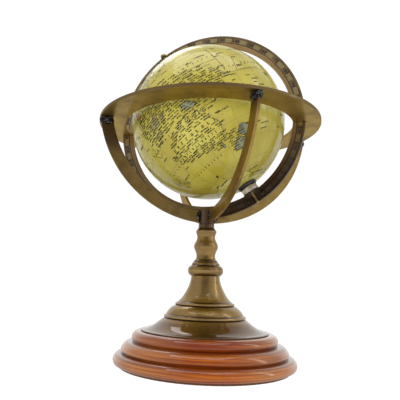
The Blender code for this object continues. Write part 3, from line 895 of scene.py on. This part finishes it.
paper_finish = printed_paper("map_paper", (0.405, 0.35, 0.052), (0.32, 0.262, 0.026))
inner_r = GLOBE_R - SHELL_WALL
shell = arc(GLOBE_R, acos(TUBE_HOLE_R / GLOBE_R), asin(HALF_SEAM / GLOBE_R), 46)
shell += arc(inner_r, asin(HALF_SEAM / inner_r), acos(TUBE_HOLE_R / inner_r), 14)
for pole, pole_side in POLES.items():
    ball = on_axle(turned("ball_" + pole, shell + shell[:1], 144), pole, GLOBE_SHIFT * pole_side)
    fit(ball, paper_finish, "map_paper", "globe", f"globe_{pole}_shell")

board_grey = (0.3, 0.24, 0.16), (0.46, 0.39, 0.28)
dress("equator_band", mottled("pulp_board", 900, 5.0, *board_grey, 0.85, 0.0002))


# Pole caps ------------------------------------------------------
# Black moulded caps glued over the poles of the ball; the axle turns in their tubes.

CAP_R, CAP_TUBE_R, CAP_BORE = 8.0, 3.4, AXLE_R + 0.15
cap_top, tube_end = GLOBE_R + CAP_T, GLOBE_R - 6.0
under_r = GLOBE_R + GAP
cap_edge, tube_edge = asin(CAP_R / under_r), asin(CAP_TUBE_R / under_r)
crown = rounded([
    (CAP_R - 2.4, cap_top), (CAP_R - 1.0, cap_top - 0.5), (CAP_R - 0.2, cap_top - 1.4),
    (CAP_R, cap_top - 2.2),
])
underside = [(across, up) for up, across in arc(under_r, cap_edge, tube_edge, 7)]
tube = [(CAP_TUBE_R, tube_end), (CAP_BORE, tube_end), (CAP_BORE, cap_top)]

plastic = Finish("black_plastic", Specular_IOR_Level=0.5)
scuff = plastic.noise(800, 4.0)
plastic_colour = plastic.mix(plastic.fade(scuff, 0.5, 0.75), (0.01, 0.01, 0.011), (0.055, 0.054, 0.052))
plastic_finish = plastic.surface(plastic_colour, 0.22 + scuff * 0.2, scuff, 0.00003)
for pole, pole_side in POLES.items():
    cap = turned(pole + "_cap_moulding", [(CAP_BORE, cap_top)] + crown + underside + tube, 64)
    cap = on_axle(cap, pole, GLOBE_SHIFT * pole_side)
    fit(cap, plastic_finish, "black_plastic", "globe", pole + "_pole_cap")


# Printed map ----------------------------------------------------
# The gores carry an old-style map: tinted lands with ragged dark coasts, a thin net of meridians and
# parallels, and rows of lettering, here only strokes with no words in them. The layers lie a few
# hundredths of a millimetre over the paper.

FIRST_MERIDIAN = radians(231.9)  # how far the ball is turned on its axle
TINT_LIFT, NET_LIFT, COAST_LIFT, LETTER_LIFT = 0.05, 0.06, 0.07, 0.08
chance = random.Random(7)


def spot(longitude, latitude):
    """The direction of a place, from the ball's centre."""
    turn, rise = radians(longitude) - FIRST_MERIDIAN, radians(latitude)
    axis_x = ring_frame.to_3x3() @ Vector((1, 0, 0))
    level = axis_x * cos(turn) + Vector((0, 1, 0)) * sin(turn)
    return level * cos(rise) + north * sin(rise)


def within(outline, point):
    """Whether a flat point lies inside a closed outline."""
    inside = False
    for a, b in zip(outline, outline[1:] + outline[:1]):
        if (a[1] > point[1]) != (b[1] > point[1]):
            if point[0] < a[0] + (b[0] - a[0]) * (point[1] - a[1]) / (b[1] - a[1]):
                inside = not inside
    return inside


class Print:
    """One printed layer: flat strips and patches on the ball, joined in one mesh."""

    def __init__(self, lift):
        self.radius = (GLOBE_R + lift) * MM
        self.points = []
        self.faces = []

    def add_points(self, directions):
        first = len(self.points)
        self.points += [BALL_AT + way.normalized() * self.radius for way in directions]
        return first

    def line(self, path, width):
        """A flat strip along a path of directions."""
        half = width / 2 / GLOBE_R
        edges = []
        for i, way in enumerate(path):
            along = path[min(i + 1, len(path) - 1)] - path[max(i - 1, 0)]
            side = way.cross(along).normalized() * half
            edges += [way + side, way - side]
        first = self.add_points(edges)
        for i in range(first, first + 2 * len(path) - 2, 2):
            self.faces.append((i + 1, i + 3, i + 2, i))

    def patch(self, shore, step=2.8 / GLOBE_R):
        """Fill a closed shore with small triangles that follow the ball."""
        centre = sum(shore, Vector()).normalized()
        east = centre.cross(Vector((0.2, 0.3, 1))).normalized()
        up = centre.cross(east)
        flat = [Vector((way.dot(east), way.dot(up))).normalized() * centre.angle(way) for way in shore]
        rows = int(max(point.length for point in flat) / step) + 1
        grid = range(-rows - 1, rows + 2)
        mesh_points = [Vector(((i + 0.5 * (j % 2)) * step, j * step * 0.87)) for j in grid for i in grid]
        mesh_points = flat + [point for point in mesh_points if within(flat, point)]
        points, _, faces, *_ = delaunay_2d_cdt(mesh_points, [], [list(range(len(flat)))], 1, 1e-7)
        ways = [
            centre * cos(point.length) + (east * point.x + up * point.y).normalized() * sin(point.length)
            for point in points
        ]
        first = self.add_points(ways)
        for face in faces:
            a, b, c = (ways[i] for i in face)
            corners = [first + i for i in face]
            self.faces.append(corners if (b - a).cross(c - a).dot(a) > 0 else corners[::-1])

    def laid(self, name, material):
        mesh = bpy.data.meshes.new(name)
        mesh.from_pydata(self.points, [], self.faces)
        mesh.shade_smooth()
        layer = bpy.data.objects.new(name, mesh)
        bpy.context.scene.collection.objects.link(layer)
        fit(layer, material, "map_paper", "globe")


def shore_of(outline, reach=0.022):
    """Directions along a land's outline, broken up until each stretch is short, and ragged."""
    path = [spot(*place) for place in outline]
    while max((a - b).length for a, b in zip(path, path[1:] + path[:1])) > reach:
        longer = []
        for a, b in zip(path, path[1:] + path[:1]):
            longer.append(a)
            if (a - b).length > reach:
                side = a.cross(b - a) * chance.uniform(-0.16, 0.16)
                longer.append(((a + b) / 2 + side).normalized())
        path = longer
    return path


# Each land has its tint, how far apart its rows of lettering are in degrees (0 for none), and its
# outline of (longitude, latitude) in degrees.
LANDS = {
    "eurasia": ("olive", 3.2, [
        (-9, 43), (-9, 37), (-5, 36), (0, 39), (3, 42), (8, 44), (12, 42), (16, 38), (18, 40), (14, 45),
        (20, 40), (23, 36.5), (26, 40), (36, 36.5), (34.5, 31.5), (35, 28), (39, 21), (43, 13), (52, 16),
        (59.5, 22), (56.5, 26), (51, 24), (48, 30), (51, 28), (57, 26.5), (66, 25), (70, 21), (73, 17),
        (77, 8), (80, 13), (81, 16), (87, 21.5), (92, 22), (94, 16), (98, 16), (98.5, 9), (103, 1.5),
        (103.5, 4), (100, 13), (105, 9), (109, 12), (106, 19), (110, 21), (117, 24), (121, 29), (119, 35),
        (122, 37), (118, 39), (122, 40.5), (125, 38), (127, 35), (129, 36), (128, 40), (135, 43.5),
        (140, 49), (141, 53), (137, 54), (143, 59), (155, 59.5), (156, 51), (162, 56), (163, 60),
        (170, 60), (179, 64.5), (180, 69), (160, 70), (140, 73), (113, 74), (104, 78), (90, 75), (73, 72),
        (68, 68), (54, 68.5), (44, 68), (40, 65), (41, 67), (30, 70), (25, 71), (15, 68.5), (10, 64),
        (5, 61), (6, 58), (10.5, 59.5), (13, 55.5), (17, 61), (22, 65.5), (22, 61), (29, 60), (21, 56),
        (19, 54.5), (10, 54.5), (8, 57), (8, 54), (3, 51.5), (-4.5, 48.5), (-1.5, 46), (-1.5, 43.5),
    ]),
    "africa": ("ochre", 3.2, [
        (-6, 36), (10, 37), (11, 33.5), (20, 31), (25, 32), (32, 31), (34, 27), (37, 21), (39, 15),
        (43, 11.5), (51, 11.5), (46, 4), (41, -2), (39, -7), (40.5, -15), (35, -20), (35, -24),
        (32.5, -28), (28, -33), (20, -35), (18, -33), (15, -27), (12, -18), (13.5, -10), (9, -1),
        (9.5, 4), (4, 6.5), (-4, 5), (-8, 4.5), (-13, 8.5), (-17, 14.5), (-16.5, 20), (-13, 27), (-9.5, 31),
    ]),
    "north_america": ("ochre", 3.2, [
        (-168, 66), (-162, 60), (-157, 58.5), (-164, 54.5), (-152, 59), (-146, 60.5), (-138, 59),
        (-131, 54), (-124, 48), (-124, 40), (-120, 34.5), (-115, 30), (-110, 23.5), (-114, 31),
        (-106, 23), (-105, 19.5), (-95, 16), (-87, 13), (-83, 9), (-78, 8), (-83, 15), (-88, 16),
        (-87, 21.5), (-91, 18.5), (-96, 19), (-97.5, 26), (-94, 29.5), (-84, 30), (-81, 25.5), (-81, 31),
        (-76, 35), (-74, 40), (-70, 42), (-66, 44.5), (-60, 46), (-65, 49), (-56, 52), (-62, 57),
        (-70, 61), (-78, 62.5), (-77, 56), (-80, 51.5), (-87, 56), (-94, 59), (-94, 63), (-86, 67),
        (-95, 68), (-110, 68), (-125, 70), (-141, 69.5), (-156, 71),
    ]),
    "south_america": ("olive", 3.2, [
        (-77, 8), (-72, 12), (-62, 10.5), (-52, 5), (-50, 0), (-42, -3), (-35, -6), (-39, -14),
        (-41, -22), (-48, -26), (-53, -33), (-57, -37), (-62, -39), (-65, -43), (-67, -48), (-69, -52),
        (-72, -53.5), (-74.5, -48), (-73, -40), (-71.5, -30), (-70.5, -18.5), (-76, -14), (-81, -6),
        (-80, -1), (-78, 3),
    ]),
    "greenland": ("pale", 4.0, [
        (-73, 78), (-60, 82), (-33, 83.5), (-20, 80), (-22, 72), (-38, 65.5), (-43, 60), (-51, 64), (-54, 70),
    ]),
    "antarctica": ("pale", 4.5, [
        (0, -70), (20, -70), (40, -69), (55, -66.5), (70, -69), (80, -66), (100, -65), (120, -66),
        (140, -67), (160, -70), (170, -73), (165, -78), (190, -78.5), (215, -76), (250, -74), (270, -73),
        (285, -71), (295, -66), (302, -63.5), (299, -70), (298, -75), (320, -78), (335, -76), (350, -71),
    ]),
    "australia": ("southern", 0, [
        (142, -11), (143.5, -14.5), (146, -19), (150, -23), (153, -27), (152, -32), (150, -37),
        (145, -38.5), (140, -37.5), (138, -34), (135, -34.5), (131, -31.5), (125, -33), (120, -34),
        (115.5, -34), (114, -27), (114, -22), (119, -20), (123, -17), (127, -14), (130, -12), (136, -12),
        (136, -15), (139.5, -17.5), (141, -15),
    ]),
    "tasmania": ("slate", 1.6, [(145, -41), (148, -41), (147.5, -43.5), (145.5, -43)]),
    "new_guinea": ("slate", 0, [
        (136, -3), (141, -3.5), (144.5, -6), (146, -9), (142, -9.5), (138, -8.5), (136, -6),
    ]),
    "borneo": ("umber", 0, [
        (109, 1), (111, 2.5), (115, 5), (117, 7), (119, 5), (117.5, 1), (116, -3.5), (113, -3.5), (110, -2),
    ]),
    "sumatra": ("olive", 0, [
        (95.5, 5.5), (98, 4), (101, 2), (104, -1), (106, -3.5), (105.5, -6), (102, -4), (99, 0), (96.5, 3.5),
    ]),
    "java": ("umber", 0, [(105.5, -6.3), (110, -6.5), (114.5, -7.3), (114.5, -8.7), (109, -8)]),
    "lesser_islands": ("olive", 0, [
        (116, -8.2), (120, -8.2), (124, -8.8), (127, -8.6), (124, -10.2), (119, -9.4),
    ]),
    "celebes": ("umber", 0, [
        (119, -3), (120, 1), (125, 1.5), (121, 0), (123, -1), (121.5, -2), (122.5, -5), (120.5, -3),
        (119.5, -5.5),
    ]),
    "philippines": ("olive", 0, [
        (120.5, 18), (122, 18), (122, 14), (125.5, 9.5), (126, 6.5), (122, 7), (120, 14),
    ]),
    "siam": ("rust", 1.8, [(98, 19), (103, 19), (105, 15), (102, 13), (100, 14)]),
    "japan": ("olive", 2.0, [
        (130, 31.5), (135.5, 33.5), (140, 35.5), (142, 39.5), (140, 41), (136, 36.5), (131, 34.5),
    ]),
    "hokkaido": ("olive", 2.0, [(140, 42), (143, 42), (145.5, 43.5), (142, 45.5), (140.5, 43.5)]),
    "britain": ("slate", 2.0, [(-5.5, 50), (1, 51.5), (-1, 54.5), (-3, 58.5), (-5.5, 58), (-4, 54)]),
    "madagascar": ("slate", 2.2, [(49, -12), (50, -16), (47, -25), (44, -25), (43.5, -22), (44.5, -16)]),
    "ceylon": ("slate", 1.8, [(80, 9.5), (82, 7), (80.5, 6)]),
    "north_island": ("slate", 0, [
        (166, -34), (170, -34.5), (174.5, -37), (174, -41), (169, -42.5), (164.5, -41), (162.5, -38.5),
        (164, -36),
    ]),
    "south_island": ("slate", 0, [
        (163, -42), (168.5, -43.5), (166, -47), (161, -50), (155, -49.5), (154, -47), (157, -45),
        (159, -43),
    ]),
}
TINTS = {
    "olive": ((0.4, 0.35, 0.045), (0.31, 0.265, 0.022)),
    "ochre": ((0.45, 0.31, 0.04), (0.35, 0.235, 0.022)),
    "pale": ((0.53, 0.49, 0.13), (0.43, 0.38, 0.07)),
    "southern": ((0.47, 0.42, 0.08), (0.39, 0.33, 0.04)),
    "slate": ((0.265, 0.27, 0.155), (0.155, 0.165, 0.095)),
    "umber": ((0.27, 0.225, 0.07), (0.17, 0.135, 0.045)),
    "rust": ((0.42, 0.16, 0.035), (0.3, 0.1, 0.02)),
}
LETTERS = [  # strokes of made-up letters, in shares of a letter's width and height
    [(0, 0, 0, 1), (0.7, 0, 0.7, 1)], [(0, 0, 0, 1), (0, 1, 0.7, 1)], [(0, 0, 0.35, 1), (0.35, 1, 0.7, 0)],
    [(0, 0, 0.7, 0), (0.35, 0, 0.35, 1)], [(0, 0, 0, 1), (0, 0, 0.7, 0)], [(0.35, 0, 0.35, 1)],
]
PITCH = 0.82  # from letter to letter, as a share of their height


def word(layer, longitude, latitude, count, height, weight):
    """A row of made-up letters along a parallel."""
    here = spot(longitude, latitude)
    east = north.cross(here).normalized()
    up = here.cross(east)
    pitch = height * PITCH
    for number in range(count):
        for x0, y0, x1, y1 in chance.choice(LETTERS):
            layer.line([
                here + (east * (number * pitch + x * pitch * 0.75) + up * (y * height)) / GLOBE_R
                for x, y in ((x0, y0), (x1, y1))
            ], weight)


def lettered(layer, outline, spacing, clear=()):
    """Rows of words across a land, kept inside its outline and off the latitudes that stay clear."""
    longitudes, latitudes = zip(*outline)
    latitude = min(latitudes) + spacing * 0.7
    height = 0.95 if spacing < 2 else 1.1
    while latitude < min(max(latitudes), 80):
        longitude = min(longitudes) + chance.uniform(0, 3)
        while longitude < max(longitudes) and not any(low < latitude < high for low, high in clear):
            count = chance.randint(4, 10)
            length = count * height * PITCH / GLOBE_R * (180 / pi) / cos(radians(latitude))
            if within(outline, (longitude, latitude)) and within(outline, (longitude + length, latitude)):
                word(layer, longitude, latitude, count, height, height * 0.42)
                longitude += length
            longitude += chance.uniform(0.8, 2.6) / cos(radians(latitude))
        latitude += spacing * chance.uniform(0.85, 1.15)


coasts, letters = Print(COAST_LIFT), Print(LETTER_LIFT)
layers = {tint: Print(TINT_LIFT + (0.01 if tint == "rust" else 0)) for tint in TINTS}
for tint, spacing, outline in LANDS.values():
    shore = shore_of(outline)
    layers[tint].patch(shore)
    coasts.line(shore + shore[:1], 0.32)
    if spacing:
        lettered(letters, outline, spacing)

# Names crowd the southern land and its seas, the islands north and west of it, and two bands beyond.
CROWDED = [  # spacing of the rows, latitudes that stay clear, outline
    (1.55, [(-25.6, -21.4), (-32.6, -29.6)], [
        (111, -21), (104, -24), (107, -33), (116, -37), (133, -40), (146, -45), (156, -40), (160, -27),
        (154, -15), (140, -12), (128, -11.5), (118, -15),
    ]),
    (1.7, [], [
        (101, -7), (97, 3), (101, 13), (120, 15), (141, 12), (176, 8), (178, -3), (166, -14),
        (148, -12), (129, -10), (114, -13), (104, -13),
    ]),
    (1.6, [], [(155, -36), (176, -33), (178, -42), (167, -51), (152, -51), (151, -43)]),
    (2.9, [], [(112, 14), (140, 12), (160, 9), (166, 13), (150, 19), (136, 25), (114, 25)]),
    (2.4, [], [(97, -62), (123, -64), (130, -69), (95, -67)]),
]
for spacing, clear, outline in CROWDED:
    lettered(letters, outline, spacing, clear)

# Large spaced letters name lands and seas, and small ones are strewn over the open sea.
SPREAD = [  # longitude and latitude of the first letter, how many, their height, degrees between them
    (112, -24.3, 9, 2.2, 4.7), (109, -31.6, 13, 1.7, 3.1), (60, 55, 8, 2.6, 4), (8, 12, 6, 2.6, 4),
    (-112, 45, 7, 2.6, 4), (-66, -12, 6, 2.4, 4), (143, 18.5, 10, 1.5, 3.9), (86, -14, 9, 1.5, 3.9),
    (92, -33, 7, 1.4, 3.9), (-30, 30, 8, 1.6, 4), (-25, -25, 8, 1.6, 4), (190, 5.5, 7, 1.5, 3.4),
    (-160, 25, 9, 1.6, 4), (-140, -20, 9, 1.6, 4), (186, -25, 7, 1.7, 3.4), (108, -47, 9, 1.3, 3.9),
    (175, 4, 6, 1.3, 3.4),
]
for longitude, latitude, count, height, step in SPREAD:
    for number in range(count):
        word(letters, longitude + number * step, latitude, 1, height, height * 0.27)
for _ in range(300):
    longitude, latitude = chance.uniform(0, 360), chance.uniform(-44, 68)
    places = [(longitude + 3 - turn, latitude) for turn in (0, 360)]
    if not any(within(outline, place) for _, _, outline in LANDS.values() for place in places):
        word(letters, longitude, latitude, chance.randint(4, 9), chance.choice((0.8, 0.9, 1.1)), 0.32)
for _ in range(46):  # faint upright strokes in the far southern sea
    longitude, latitude = chance.uniform(80, 93), chance.uniform(-47, -34)
    word(letters, longitude, latitude, 1, chance.uniform(1.5, 3.0), 0.16)

net = Print(NET_LIFT)
for longitude in range(0, 360, 15):
    net.line([spot(longitude, latitude) for latitude in range(-82, 83, 2)], 0.17)
for latitude in range(-75, 90, 15):
    width = 0.34 if latitude == 0 else 0.17
    net.line([spot(longitude, latitude) for longitude in range(0, 363, 3)], width)
# Dark bounding lines: the date line, an old meridian, and the frames round groups of islands.
for bend in (
    [(186.3, 13), (182.4, 0), (203.5, 1.4)], [(175.3, 29), (174.3, 2.7)], [(143, 16.4), (174, 14.6)],
    [(143, 12.8), (168, 12)], [(93.7, -12.5), (99.5, -19.1), (103, -17)], [(98, -9.5), (100, -13)],
    [(146, -13), (158, -13.5)],
):
    for (x0, y0), (x1, y1) in zip(bend, bend[1:]):
        coasts.line([spot(x0 + (x1 - x0) * i / 6, y0 + (y1 - y0) * i / 6) for i in range(7)], 0.32)
for latitude in (15.0, 23.4, -23.4, 66.5, -66.5):  # dashed circles
    for longitude in range(0, 360, 4):
        net.line([spot(longitude, latitude), spot(longitude + 2.4, latitude)], 0.2)

blot = Print(LETTER_LIFT + 0.01)
blot.patch(shore_of([(116.5, -57.2), (118.6, -56.4), (120, -57.4), (118.5, -59), (116.8, -58.8)], 0.01))
blot.patch(shore_of([(119.5, -62.2), (121, -62), (121, -63), (119.8, -63.2)], 0.008))

for tint, layer in layers.items():
    layer.laid("print_" + tint, printed_paper("paper_" + tint, *TINTS[tint]))
faint, black = ((0.1, 0.085, 0.018), (0.24, 0.2, 0.03)), ((0.006, 0.007, 0.003), (0.028, 0.027, 0.01))
varnished = {"Coat_Weight": 1.0, "Coat_Roughness": 0.2}
net.laid("print_net", mottled("net_ink", 160, 4.0, *faint, 0.5, 0.00001, **varnished))
map_ink = mottled("map_ink", 2200, 2.0, *black, 0.5, 0.00001, Specular_IOR_Level=0.25)
coasts.laid("print_coasts", map_ink)
letters.laid("print_letters", map_ink)
blot.laid("ink_blot", ink_finish)
